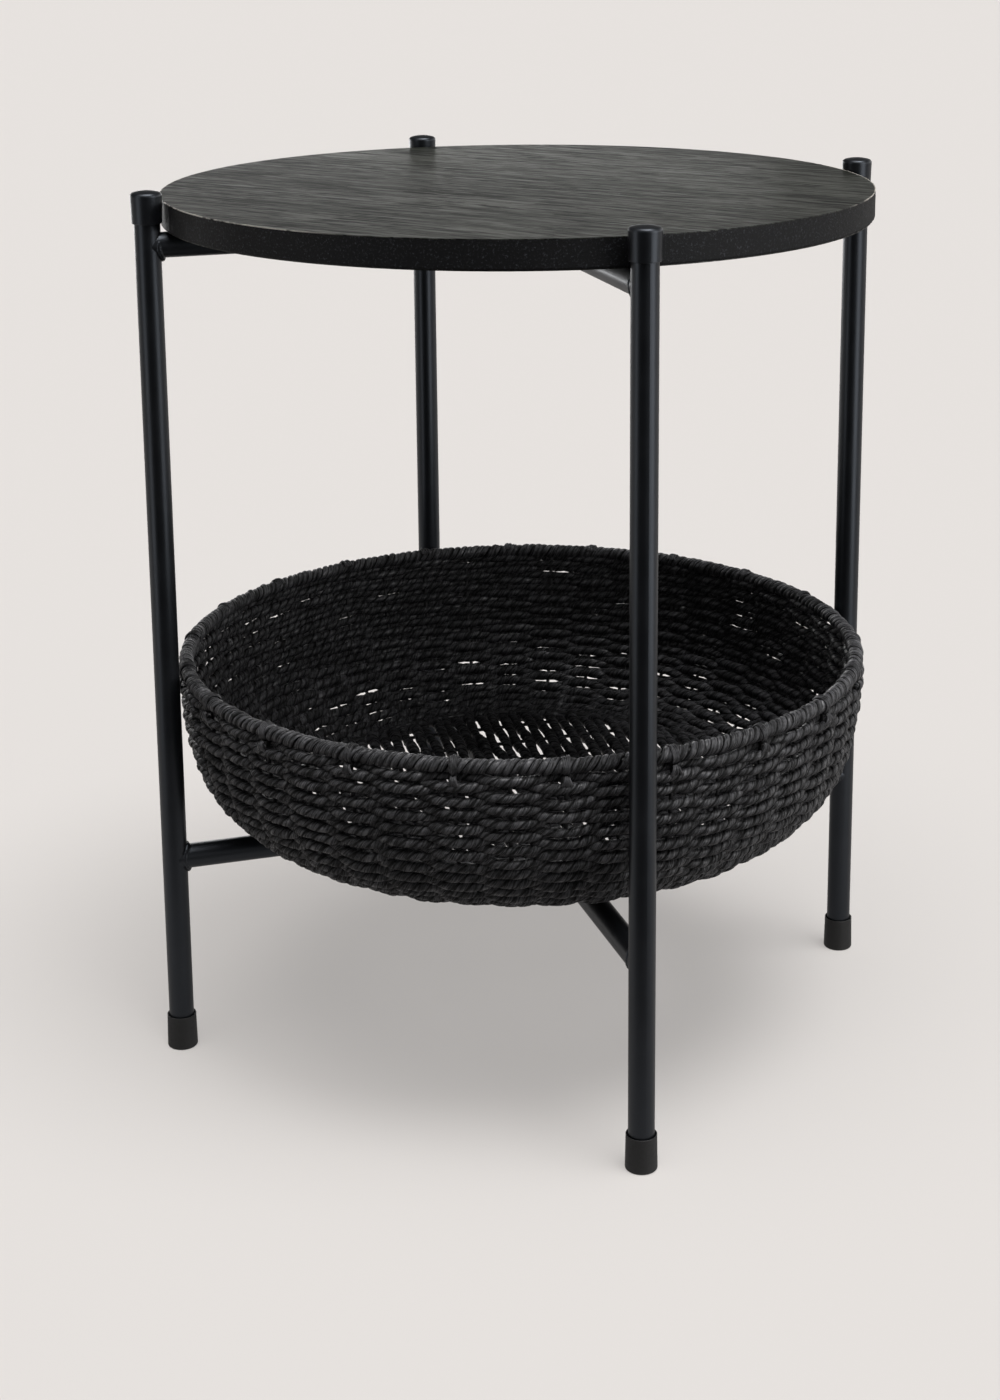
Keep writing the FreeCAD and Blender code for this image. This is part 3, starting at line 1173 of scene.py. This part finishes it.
@dataclass
class BowlOutline:
    """Middle line of the woven wall: a wide arc from the rim, then a tight arc to the base."""

    wide_arc: float = 260 * MM
    rim_radius: float = field(init=False)
    rim_height: float = field(init=False)
    base_radius: float = field(init=False)
    base_height: float = field(init=False)
    wall: float = field(init=False)
    tight_arc: float = field(init=False)
    turn: float = field(init=False)

    def __post_init__(self) -> None:
        """Reads the bowl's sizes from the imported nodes."""
        base_low, base_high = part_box("basket_base")
        self.rim_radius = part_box("basket_rim_wrap")[1].x
        self.rim_height = middle("basket_rim_wrap").z
        self.base_radius = base_high.x
        self.base_height = base_low.z
        self.wall = base_high.z - base_low.z
        drop = self.rim_height - self.base_height
        inset = self.base_radius - self.rim_radius + self.wide_arc
        self.tight_arc = (self.wide_arc ** 2 - drop ** 2 - inset ** 2) / (2 * (self.wide_arc - drop))
        self.turn = math.asin((drop - self.tight_arc) / (self.wide_arc - self.tight_arc))

    @property
    def wide_length(self) -> float:
        """Length of the wide arc."""
        return (self.wide_arc - self.wall / 2) * self.turn

    @property
    def length(self) -> float:
        """Length of both arcs."""
        return self.wide_length + (self.tight_arc - self.wall / 2) * (TURN / 4 - self.turn)

    def at(self, distance: np.ndarray) -> tuple[np.ndarray, ...]:
        """Places on the outline.

        Args:
            distance: distance down the wall from the rim's middle height.

        Returns:
            Radius, height, and the radial and upward parts of the outward direction.
        """
        wide = self.wide_arc - self.wall / 2
        tight = self.tight_arc - self.wall / 2
        in_wide = distance < self.wide_length
        angle = np.where(in_wide, distance / wide, self.turn + (distance - self.wide_length) / tight)
        reach = self.wide_arc - self.tight_arc
        centre = self.rim_radius - self.wide_arc + np.where(in_wide, 0, reach * math.cos(self.turn))
        level = self.rim_height - np.where(in_wide, 0, reach * math.sin(self.turn))
        arc = np.where(in_wide, wide, tight)
        out, up = np.cos(angle), -np.sin(angle)
        return centre + arc * out, level + arc * up, out, up


@dataclass
class Basket:
    """The woven bowl: rope wall and base, wound rim and its ties, over wire stakes and hoops."""

    strands: StrandTree
    outline: BowlOutline = field(default_factory=BowlOutline)
    wall_seed: int = 7
    base_seed: int = 11
    winding_seed: int = 23
    tie_seed: int = 31
    stakes: int = 43
    row_pitch: float = 4.45 * MM
    first_row: float = 4.5 * MM
    wall_reach: float = 2.6 * MM
    lower_reach: float = 1.85 * MM
    base_reach: float = 1.6 * MM
    base_rise: float = 1.2 * MM
    base_girth_limit: float = 1.34
    lowest_middle: float = 3.8 * MM
    sag: float = 0.4 * MM
    column_drift: float = 0.85 * MM
    column_power: float = 1.25
    column_rows: float = 2.6
    column_reach: int = 8
    crossing_drift: float = 0.45 * MM
    crossing_limit: float = 2.0
    calm_rows: tuple[int, int] = (3, 4)
    uneven_reach: float = 0.12
    uneven_limits: tuple[float, float] = (-2.0, 1.0)
    wave_flatness: float = 0.25
    points_per_stake: int = 26
    narrows_from: float = 0.3
    narrows_over: float = 0.35
    lay_length: float = 16.0 * MM
    lay_drift: Drift = Drift(0.8, 70 * MM)
    slow_girth: Drift = Drift(0.08, 22 * MM)
    quick_girth: Drift = Drift(0.12, 6 * MM)
    girth_places: tuple[float, float, float] = (0.0, 0.3, 0.6)
    girth_range: tuple[float, float, float] = (0.95, 0.99, 1.08)
    step: float = 1.65 * MM
    base_pitch: float = 8.3 * MM
    base_wire_pitch: float = 32 * MM
    base_overlap: float = 2.5 * MM
    base_turn: float = math.radians(5)
    base_point_gap: float = 1.2 * MM
    base_fewest_points: int = 24
    base_shortest: float = 12 * MM
    base_slow_slip: Drift = Drift(0.75 * MM, 34 * MM)
    base_quick_slip: Drift = Drift(0.35 * MM, 15 * MM)
    base_lift_drift: Drift = Drift(0.08, 30 * MM)
    base_girth: float = 1.10
    base_flattening: float = 0.20
    winding_pitch: float = 4.8 * MM
    winding_starts: int = 3
    winding_radius: float = 3.3 * MM
    winding_points: int = 24
    winding_step: float = 1.5 * MM
    winding_slide: Drift = Drift(0.8 * MM, 0.6)
    winding_swell: Drift = Drift(0.45 * MM, 0.9)
    winding_girth: Drift = Drift(0.12, 13 * MM)
    tie_strands: tuple[float, ...] = (-1.5, -0.5, 0.5, 1.5)
    tie_gap: float = 1.5 * MM
    tie_gap_drift: float = 0.2 * MM
    tie_waist: float = 0.45
    tie_splay: float = 1.7
    tie_splay_drift: float = 0.5 * MM
    tie_roll: tuple[float, float] = (math.radians(150), math.radians(-78))
    tie_roll_points: int = 16
    tie_lift: float = 5.0 * MM
    tie_lift_drift: float = 0.25 * MM
    tie_fall: tuple[float, float] = (5.5 * MM, 12.5 * MM)
    tie_proud: tuple[float, ...] = (
        4.6 * MM, 5.3 * MM, 5.5 * MM, 5.4 * MM, 4.9 * MM, 3.6 * MM, 0.5 * MM)
    tie_step: float = 1.2 * MM
    tie_girth: Drift = Drift(0.15, 6 * MM)
    rope: StrandBuild = StrandBuild(2, 1.18 * MM, 1.85 * MM, 2.6 * MM, 8)
    winding: StrandBuild = StrandBuild(1, 0.0, 1.55 * MM, 2.1 * MM, 8)
    tie: StrandBuild = StrandBuild(1, 0.0, 0.8 * MM, 0.95 * MM, 6)

    def build(self) -> None:
        """Makes every rope piece and dresses the wires."""
        paper = PaperCord().material()
        strip = PaperCord("paper_strip", ply_twist=25.0, wrinkle_length=0.012,
                          wrinkle_width=0.0012, crown_height=0.0010).material()
        twine = PaperCord("paper_twine", ply_twist=40.0, groove_height=-0.0003,
                          crown_height=0.0003).material()
        self.weave_wall(paper)
        self.weave_base(paper)
        self.wind_rim(strip)
        self.tie_rim(twine)
        wires = ["basket_rim_hoop", "basket_stakes", "basket_base_hoop", "basket_base_wires"]
        dress(wires, CoatedWire().material())

    def lay_rope(self, path: StrandPath, wander: Wander) -> StrandPath:
        """Gives a rope its lay and its uneven girth.

        Args:
            path: the rope's middle line.
            wander: the random draws.

        Returns:
            The same path.
        """
        run = path.run
        path.lay = TURN * run / self.lay_length + self.lay_drift.along(wander, run)
        slow = self.slow_girth.along(wander, run)
        path.girth = 1 + slow + self.quick_girth.along(wander, run)
        return path

    def crossings(self, rows: int, wander: Wander) -> tuple[np.ndarray, np.ndarray]:
        """Unevenness at every crossing of a row and a stake.

        Args:
            rows: number of rows.
            wander: the random draws.

        Returns:
            How far each crossing has slipped down, and its share of the full reach.
        """
        near = np.arange(-self.column_reach, self.column_reach + 1)
        spread = np.exp(-0.5 * (near / self.column_rows) ** 2)
        spread /= math.sqrt(np.sum(spread ** 2))
        loose = wander.draws.normal(size=(rows + 2 * self.column_reach, self.stakes))
        columns = np.stack([np.convolve(column, spread, "valid") for column in loose.T], 1)
        columns = np.sign(columns) * np.abs(columns) ** self.column_power
        own = wander.draws.normal(size=columns.shape)
        own = np.clip(own, -self.crossing_limit, self.crossing_limit)
        first, last = self.calm_rows
        ease = np.clip(np.arange(rows) / first, 0, 1)[:, None]
        ease = ease * np.clip((rows - np.arange(rows)) / last, 0, 1)[:, None]
        slip = (columns * self.column_drift + own * self.crossing_drift) * ease
        uneven = np.clip(wander.draws.normal(size=columns.shape), *self.uneven_limits)
        share = 1 + self.uneven_reach * uneven
        return slip.ravel(), share.ravel()

    def wall_rope(self) -> tuple[StrandPath, np.ndarray]:
        """Lays one long rope round the stakes, from the rim down to the base.

        Returns:
            The rope, and how far down the wall each of its points lies.
        """
        wander = Wander(self.wall_seed)
        turns = (self.outline.length - self.first_row) / self.row_pitch
        rows = int(turns) + 2
        slip, share = self.crossings(rows, wander)
        around = np.linspace(0, turns, int(turns * self.stakes * self.points_per_stake))
        crossing = around * self.stakes
        wave = np.cos(math.pi * crossing)
        wave = wave * (1 + self.wave_flatness - self.wave_flatness * wave ** 2)
        level = self.first_row + self.row_pitch * around
        down = level + self.sag * wave + blend_knots(slip, crossing)
        down = np.clip(down, 0, self.outline.length)
        radius, height, out, up = self.outline.at(down)
        depth = down / self.outline.length
        ease = np.clip((depth - self.narrows_from) / self.narrows_over, 0, 1)
        reach = self.wall_reach + (self.lower_reach - self.wall_reach) * ease
        reach = reach * wave * blend_knots(share, crossing)
        angle = TURN * around
        points = round_axis(angle, radius + out * reach, height + up * reach)
        points[:, 2] = np.maximum(points[:, 2], self.outline.base_height + self.lowest_middle)
        path = StrandPath.even(points, round_axis(angle, out, up), self.step)
        rope = self.lay_rope(path, wander)
        places = np.interp(rope.run / rope.run[-1], np.linspace(0, 1, len(down)), level)
        rope.girth = rope.girth * np.interp(
            places, np.multiply(self.girth_places, places[-1]), self.girth_range)
        return rope, places

    def weave_wall(self, paper: bpy.types.Material) -> None:
        """Makes the wall's rope, in two pieces for each of the wall's bands.

        Args:
            paper: the rope's finish.
        """
        rope, places = self.wall_rope()
        wide_end, end = self.outline.wide_length, self.outline.length
        ends = [0, wide_end, (wide_end + end) / 2, end]
        bounds = [int(bound) for bound in np.searchsorted(places, ends)]
        bounds[-1] = len(places) - 1
        for band, first, last in zip(("upper", "middle", "lower"), bounds, bounds[1:]):
            half = (first + last) // 2
            for number, (low, high) in enumerate(((first, half), (half, last)), 1):
                name = f"basket_weave_{band}_{number}"
                piece = self.strands.grow(name, [rope.part(low, high + 1)], self.rope, paper)
                settle(piece, "basket", "paper_rope", "basket_wall_" + band)

    def weave_base(self, paper: bpy.types.Material) -> None:
        """Weaves parallel ropes over and under the base wires.

        Args:
            paper: the rope's finish.
        """
        wander = Wander(self.base_seed)
        reach = self.outline.base_radius + self.base_overlap
        count = int(reach / self.base_pitch)
        halves: dict[str, list[StrandPath]] = {"left": [], "right": []}
        for row in range(-count, count + 1):
            half = math.sqrt(reach ** 2 - (row * self.base_pitch) ** 2)
            if half >= self.base_shortest:
                halves["left" if row < 0 else "right"].append(self.base_rope(row, half, wander))
        for side, paths in halves.items():
            piece = self.strands.grow(f"basket_base_weave_{side}", paths, self.rope, paper)
            settle(piece, "basket", "paper_rope", "basket_base")

    def base_rope(self, row: int, half: float, wander: Wander) -> StrandPath:
        """Lays one rope of the base.

        Args:
            row: number of the rope, from the middle one.
            half: half of the rope's length.
            wander: the random draws.

        Returns:
            The rope.
        """
        along = np.array([math.sin(self.base_turn), math.cos(self.base_turn), 0.0])
        beside = np.array([along[1], -along[0], 0.0])
        count = max(self.base_fewest_points, int(half / self.base_point_gap))
        place = np.linspace(-half, half, count)
        slip = self.base_slow_slip.along(wander, place)
        slip = slip + self.base_quick_slip.along(wander, place)
        points = along * place[:, None] + beside * (row * self.base_pitch + slip)[:, None]
        lift = self.base_reach * self.base_wave(points, row)
        lift = lift * (1 + self.base_lift_drift.along(wander, place))
        points[:, 2] = self.outline.base_height + self.outline.wall / 2 + self.base_rise + lift
        upward = np.tile((0.0, 0.0, 1.0), (count, 1))
        rope = self.lay_rope(StrandPath.even(points, upward, self.step), wander)
        rope.lay = rope.lay + wander.draws.uniform(0, TURN)
        pressed = self.base_wave(rope.points, row) ** 2
        rope.girth = np.minimum(rope.girth * (self.base_girth + self.base_flattening * pressed),
                                self.base_girth_limit)
        return rope

    def base_wave(self, points: np.ndarray, row: int) -> np.ndarray:
        """From 1 over a base wire to -1 under the next, and the other way in the next row."""
        return np.cos(math.pi * (points[:, 1] / self.base_wire_pitch + row))

    def rim_place(self, angle: np.ndarray, roll: np.ndarray,
                  radius: np.ndarray) -> tuple[np.ndarray, ...]:
        """Places round the rim hoop.

        Args:
            angle: angle round the bowl.
            roll: angle round the hoop's section, from outwards up.
            radius: distance from the hoop's middle line.

        Returns:
            Points and their directions away from the hoop's middle line.
        """
        height = self.outline.rim_height
        ring = self.outline.rim_radius - (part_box("basket_rim_wrap")[1].z - height)
        out, up = np.cos(roll), np.sin(roll)
        points = round_axis(angle, ring + radius * out, height + radius * up)
        return points, round_axis(angle, out, up)

    def wind_rim(self, strip: bpy.types.Material) -> None:
        """Winds paper strips side by side tightly round the rim hoop.

        Args:
            strip: the strips' finish.
        """
        wander = Wander(self.winding_seed)
        ring = self.outline.rim_radius
        turns = int(TURN * ring / (self.winding_pitch * self.winding_starts))
        around = np.linspace(0, 1, turns * self.winding_points)
        paths = []
        for start in range(self.winding_starts):
            roll = TURN * (turns * around + start / self.winding_starts)
            angle = TURN * around + self.winding_slide.along(wander, around * turns) / ring
            radius = self.winding_radius + self.winding_swell.along(wander, around * turns)
            path = StrandPath.even(*self.rim_place(angle, roll, radius), self.winding_step)
            path.girth = 1 + self.winding_girth.along(wander, path.run)
            paths.append(path)
        piece = self.strands.grow("basket_rim_winding", paths, self.winding, strip)
        settle(piece, "basket", "paper_wrap", "basket_rim_wrap")

    def tie_rim(self, twine: bpy.types.Material) -> None:
        """Ties the rim down to the first rows at every second stake.

        Args:
            twine: the ties' finish.
        """
        wander = Wander(self.tie_seed)
        angles = [TURN * stake / self.stakes for stake in range(1, self.stakes, 2)]
        paths = [self.tie_path(angle, strand, wander)
                 for angle in angles for strand in self.tie_strands]
        piece = self.strands.grow("basket_rim_ties", paths, self.tie, twine)
        settle(piece, "basket", "paper_wrap")

    def tie_path(self, middle_angle: float, strand: float, wander: Wander) -> StrandPath:
        """Leads one strand of a tie over the rim and down the outside of the wall.

        Args:
            middle_angle: angle of the tie's middle round the bowl.
            strand: place of the strand in its tie, in gaps from the middle.
            wander: the random draws.

        Returns:
            The strand.
        """
        ring = self.outline.rim_radius
        spread = strand * (self.tie_gap + self.tie_gap_drift * wander.draws.normal())
        waist = spread * self.tie_waist
        lift = self.tie_lift + self.tie_lift_drift * wander.draws.normal()
        roll = np.linspace(*self.tie_roll, self.tie_roll_points)
        side = np.linspace(spread, waist, self.tie_roll_points)
        over, facing = self.rim_place(middle_angle + side / ring, roll, np.full_like(roll, lift))
        proud = np.array(self.tie_proud)
        radius, height, out, up = self.outline.at(np.linspace(*self.tie_fall, len(proud)))
        splay = spread * self.tie_splay + self.tie_splay_drift * wander.draws.normal()
        angle = middle_angle + np.linspace(waist, splay, len(proud)) / ring
        down = round_axis(angle, radius + out * proud, height + up * proud)
        path = StrandPath.even(np.concatenate([over, down]),
                               np.concatenate([facing, round_axis(angle, out, up)]), self.tie_step)
        path.girth = 1 + self.tie_girth.along(wander, path.run)
        return path


# ---------------------------------------------------------------- studio


@dataclass(frozen=True)
class Card:
    """Tall glowing card that shows only in reflections."""

    name: str
    side_angle: float
    distance: float
    width: float
    low: float
    high: float
    glow: float

    def hang(self, heading: float) -> None:
        """Stands the card on the floor's edge, facing the set.

        Args:
            heading: the camera's heading, from which the card's side angle is measured.
        """
        data = bpy.data.lights.new(self.name, "AREA")
        data.shape = "RECTANGLE"
        data.size = self.width
        data.size_y = self.high - self.low
        data.energy = self.glow * math.pi * data.size * data.size_y
        card = link(self.name, data)
        turn = self.side_angle - heading
        card.location = (self.distance * math.sin(turn), -self.distance * math.cos(turn),
                         (self.low + self.high) / 2)
        card.rotation_euler = (math.pi / 2, 0.0, turn)
        card.visible_camera = False
        card.visible_diffuse = False


@dataclass
class Studio:
    """Pale floor, soft light all round, and the camera."""

    heading: float = math.radians(17.037)
    tilt: float = math.radians(13.161)
    roll: float = math.radians(-0.458)
    distance: float = 1485.99 * MM
    eye_height: float = 752.23 * MM
    lens: float = 60.418
    shift: tuple[float, float] = (-0.0138, -0.2)
    floor_reach: float = 60.0
    cards: tuple[Card, ...] = (
        Card("right_card", math.radians(54), 1.0, 0.55, -0.05, 1.5, 2.2),
        Card("left_card", math.radians(-58), 1.0, 0.40, -0.05, 1.5, 1.15),
        Card("back_card", math.radians(201), 1.4, 1.8, 0.30, 0.645, 4.0),
    )
    light: Colour = (1.0, 0.985, 0.97)
    ambient: float = 0.05
    side: float = 1.0
    side_span: tuple[float, float] = (0.1, 0.9)
    side_top: tuple[float, float] = (0.6, 0.25)
    behind: float = 0.25
    behind_span: tuple[float, float] = (0.0, 0.6)
    behind_top: tuple[float, float] = (0.45, 0.12)
    overhead: float = 4.6
    overhead_span: tuple[float, float] = (0.86, 0.985)
    overhead_upright: float = 0.98
    overhead_lean: float = 0.2
    key: float = 1.5
    key_size: float = math.radians(28)
    key_lift: float = math.radians(73)
    key_side: float = math.radians(58)
    backdrop: Colour = (0.783, 0.752, 0.730)

    def build(self) -> None:
        """Makes the floor, the light and the camera."""
        self.lay_floor()
        self.light_world()
        self.light_key()
        for card in self.cards:
            card.hang(self.heading)
        self.set_camera()
        bpy.context.scene.view_settings.view_transform = "Standard"

    def lay_floor(self) -> None:
        """Lays one large floor sheet under the feet."""
        reach = self.floor_reach
        corners = [(-reach, -reach, 0), (reach, -reach, 0), (reach, reach, 0), (-reach, reach, 0)]
        mesh = bpy.data.meshes.new("floor")
        mesh.from_pydata(corners, [], [(0, 1, 2, 3)])
        mesh.materials.append(StudioFloor(heading=self.heading).material())
        floor = link("floor", mesh)

    def light_world(self) -> None:
        """Lights the set from all round: bright at the right side and above, dim in front."""
        world = bpy.data.worlds.new("studio")
        bpy.context.scene.world = world
        world.use_nodes = True
        board = NodeBoard(world.node_tree)
        sight = board.node("ShaderNodeTexCoord", {}, {}, "Generated")
        turned = board.node("ShaderNodeMapping", {"vector_type": "POINT"},
                            {"Vector": sight, "Rotation": (0.0, 0.0, self.heading)})
        split = board.place("ShaderNodeSeparateXYZ", {}, {"Vector": turned})
        right, ahead, up = [Signal(board, split.outputs[name]) for name in "XYZ"]
        side = right.step(*self.side_span) * up.step(*self.side_top) * self.side
        behind = ahead.step(*self.behind_span) * up.step(*self.behind_top) * self.behind
        zenith = up * self.overhead_upright - ahead * self.overhead_lean
        zenith = zenith.step(*self.overhead_span)
        strength = side + behind + zenith * self.overhead + self.ambient
        lit = board.node("ShaderNodeBackground", {}, {"Color": self.light, "Strength": strength})
        seen = board.node("ShaderNodeBackground", {}, {"Color": self.backdrop, "Strength": 1.0})
        direct = board.node("ShaderNodeLightPath", {}, {}, "Is Camera Ray")
        both = board.node("ShaderNodeMixShader", {},
                          {"Fac": direct, "Shader": lit, "Shader_001": seen})
        board.place("ShaderNodeOutputWorld", {}, {"Surface": both})

    def light_key(self) -> None:
        """Hangs the broad key light, high up and to the right of the camera."""
        data = bpy.data.lights.new("key", "SUN")
        data.energy = self.key
        data.angle = self.key_size
        key = link("key", data)
        turn = Euler((0.0, 0.0, self.key_side - self.heading)).to_matrix()
        drop = Euler((math.pi / 2 - self.key_lift, 0.0, 0.0)).to_matrix()
        key.rotation_euler = (turn @ drop).to_euler()

    def set_camera(self) -> None:
        """Places the camera."""
        data = bpy.data.cameras.new("camera")
        data.lens = self.lens
        data.shift_x, data.shift_y = self.shift
        data.clip_end = 200.0
        camera = link("camera", data)
        camera.location = (-self.distance * math.sin(self.heading),
                           -self.distance * math.cos(self.heading), self.eye_height)
        aim = Euler((0.0, 0.0, -self.heading)).to_matrix()
        aim = aim @ Euler((math.pi / 2 - self.tilt, 0.0, 0.0)).to_matrix()
        aim = aim @ Euler((0.0, 0.0, self.roll)).to_matrix()
        camera.rotation_euler = aim.to_euler()
        bpy.context.scene.camera = camera


def main() -> None:
    """Builds the table's looks and the studio, in order."""
    logging.basicConfig(level=logging.INFO, format="%(message)s")
    strands = StrandTree()
    Steelwork(strands).dress()
    TableTop().dress()
    Basket(strands).build()
    Studio().build()


if __name__ == "__main__":
    main()
